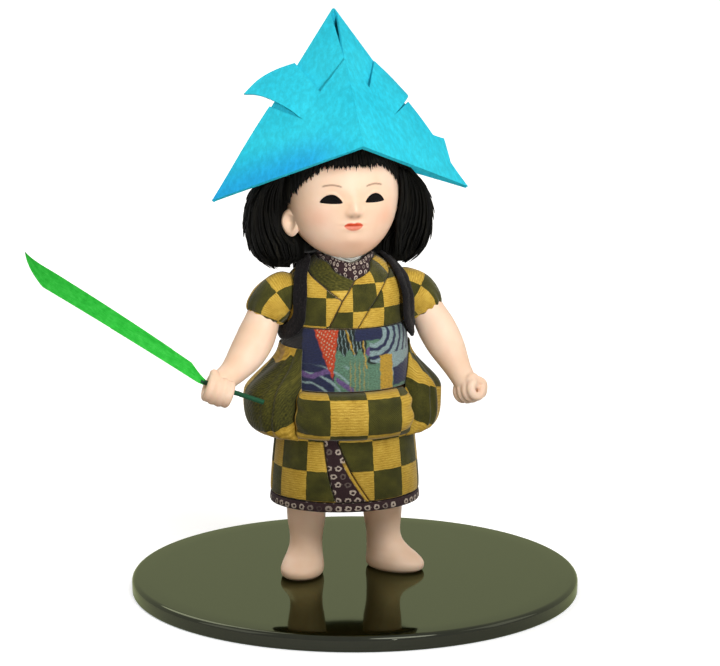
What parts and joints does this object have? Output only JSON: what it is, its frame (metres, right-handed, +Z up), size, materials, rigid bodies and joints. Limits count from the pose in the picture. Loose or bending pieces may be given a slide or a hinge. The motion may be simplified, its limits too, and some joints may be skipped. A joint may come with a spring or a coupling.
{
  "type": "kimekomi doll",
  "caption": "Standing child doll in brocade tucked into a grooved core, with a folded paper helmet, an iris leaf held as a sword and a round lacquered stand.",
  "frame": {"origin": "centre of the stand's underside", "axes": "+Z up, the figure faces -Y and its right hand with the sword is on -X"},
  "size_m": [0.2582, 0.21, 0.273],
  "materials": {
    "lacquer": "black gloss lacquer",
    "steel": "plain drawn pin",
    "wood_paste": "moulded wood paste, matt",
    "wood": "plain turned wood",
    "shell_white": "burnished shell-lime coat, skin tone",
    "eye_glass": "dark polished glass",
    "brocade": "woven checks in olive and gold",
    "spotted": "dark crepe with pale ring spots",
    "sash": "figured brocade",
    "crepe": "dark crinkled crepe",
    "hair": "combed silk thread",
    "paper": "matt washi paper",
    "leaf": "dyed stiffened cloth",
    "stem": "wire wound with dark green tape"
  },
  "bodies": {
    "stand": {"stand_board": "lacquer", "right_foot_pin": "steel", "left_foot_pin": "steel"},
    "doll": {"blouse_back": "brocade", "blouse_front": "brocade", "bodice_back": "brocade", "bodice_left": "brocade", "bodice_right": "brocade", "collar_left": "brocade", "collar_right": "brocade", "hem_band": "spotted", "left_arm": "shell_white", "left_arm_peg": "steel", "left_hip_puff": "brocade", "left_leg": "shell_white", "left_leg_dowel": "wood", "left_sleeve": "brocade", "right_arm": "shell_white", "right_arm_peg": "steel", "right_hip_puff": "brocade", "right_leg": "shell_white", "right_leg_dowel": "wood", "right_sleeve": "brocade", "sash": "sash", "sash_bow": "sash", "sash_knot": "sash", "skirt_back": "brocade", "skirt_left": "brocade", "skirt_lining": "spotted", "skirt_right": "brocade", "sleeve_cord": "crepe", "torso_core": "wood_paste", "under_collar": "spotted"},
    "head": {"head": "shell_white", "right_eye": "eye_glass", "left_eye": "eye_glass", "neck_peg": "wood", "hair": "hair", "fringe": "hair"},
    "helmet": {"paper_helmet": "paper"},
    "sword": {"sword_leaf": "leaf", "sword_stem": "stem"}
  },
  "joints": [
    {"name": "doll_lift", "type": "slide", "parent": "stand", "child": "doll", "axis": [0, 0, 1], "range_m": [0, 0.02]},
    {"name": "head_turn", "type": "hinge", "parent": "doll", "child": "head", "pos_m": [-0.0046, 0.009, 0.162], "axis": [0, 0, 1], "range_deg": [-20, 20]},
    {"name": "helmet_lift", "type": "slide", "parent": "head", "child": "helmet", "axis": [0, 0, 1], "range_m": [0, 0.06]},
    {"name": "sword_draw", "type": "slide", "parent": "doll", "child": "sword", "axis": [-0.9331, 0.0816, 0.3502], "range_m": [0, 0.04]}
  ]
}
